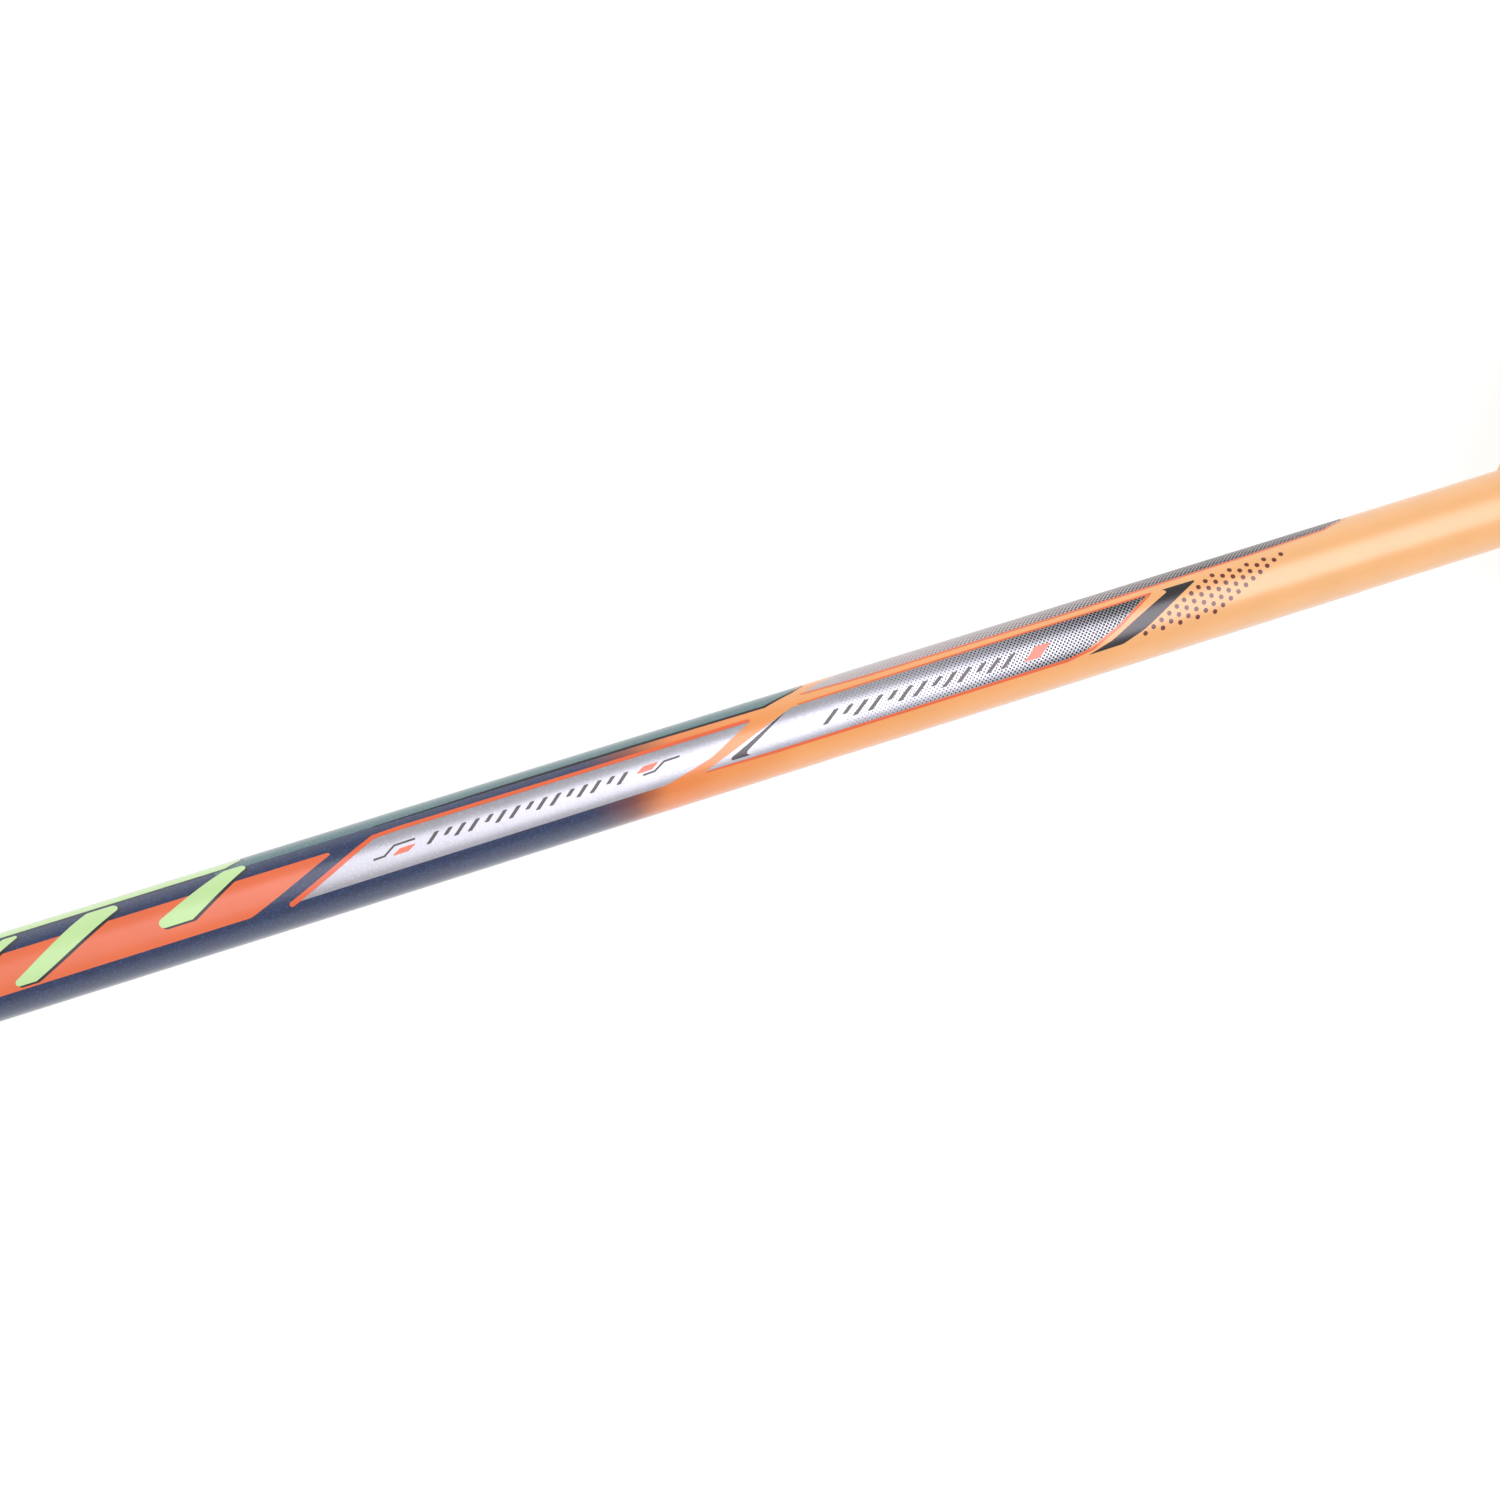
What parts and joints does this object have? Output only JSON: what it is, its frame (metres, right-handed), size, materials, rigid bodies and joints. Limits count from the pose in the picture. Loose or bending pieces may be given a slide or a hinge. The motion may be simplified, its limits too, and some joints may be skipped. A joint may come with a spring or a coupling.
{
  "type": "badminton racket",
  "caption": "Slim carbon badminton racket with an oval strung head, a thin painted shaft, a tapered cone and an octagonal wrapped handle.",
  "frame": {"origin": "centre of the butt cap's end face", "axes": "+X from the butt to the crown along the shaft, +Y across the string bed, +Z the string bed's normal, so the racket lies flat"},
  "size_m": [0.675, 0.198, 0.0278],
  "materials": {
    "frame_paint": "gloss orange lacquer over carbon fibre",
    "joint_metal": "as moulded, inside the tubes",
    "throat_paint": "gloss orange lacquer over carbon fibre",
    "shaft_paint": "gloss lacquer over orange, navy and silver graphics",
    "plug_foam": "closed foam",
    "grommet_nylon": "black nylon",
    "string_nylon": "white braided and coated nylon",
    "handle_wood": "bare light hardwood",
    "cone_plastic": "gloss navy plastic",
    "cap_plastic": "satin navy plastic",
    "label_foil": "domed silver disc with a plain ring pattern",
    "staple_steel": "bright wire",
    "grip_pu": "perforated soft polyurethane strip",
    "finishing_tape": "smooth orange vinyl tape"
  },
  "bodies": {
    "root": {"head_frame": "frame_paint", "t_joint": "joint_metal", "throat_shell": "throat_paint", "shaft": "shaft_paint", "shaft_plug": "plug_foam", "crown_grommets": "grommet_nylon", "left_grommets": "grommet_nylon", "right_grommets": "grommet_nylon", "throat_grommets": "grommet_nylon", "throat_sleeves": "grommet_nylon", "main_string": "string_nylon", "cross_string": "string_nylon", "string_knots": "string_nylon", "handle_core": "handle_wood", "cone_cap": "cone_plastic", "butt_cap": "cap_plastic", "butt_label": "label_foil", "grip_staples": "staple_steel", "grip_wrap": "grip_pu", "grip_tape": "finishing_tape"}
  },
  "joints": []
}
